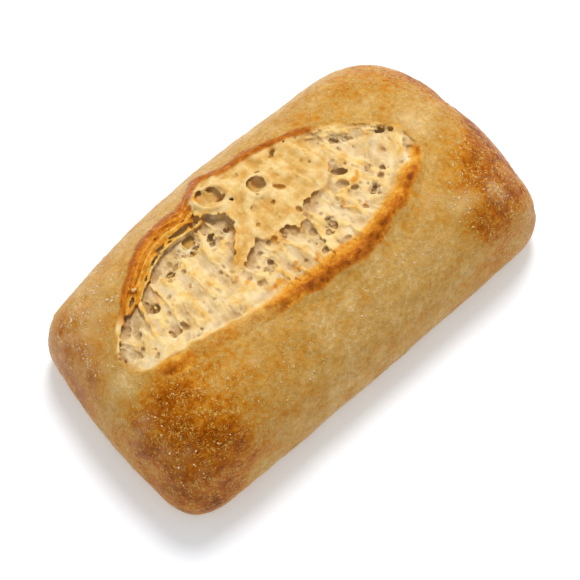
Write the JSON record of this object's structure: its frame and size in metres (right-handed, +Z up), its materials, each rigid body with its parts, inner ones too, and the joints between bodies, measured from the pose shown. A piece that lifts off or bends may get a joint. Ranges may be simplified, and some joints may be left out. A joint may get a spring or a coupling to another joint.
{
  "type": "bread roll",
  "caption": "Long pillow-shaped crusty bread roll with one lengthwise score burst open over pale, open crumb and a browned curled edge.",
  "frame": {"origin": "middle of the bounding box at the flat base", "axes": "+X along the roll towards its rounder end, +Y from the curled ear towards the far lip, +Z up"},
  "size_m": [0.1422, 0.0806, 0.0434],
  "materials": {
    "crust": "golden-brown baked crust, satin, with a dusting of flour",
    "crumb": "pale cream open crumb, matt"
  },
  "bodies": {
    "root": {"bread_roll": "crust"}
  },
  "joints": []
}
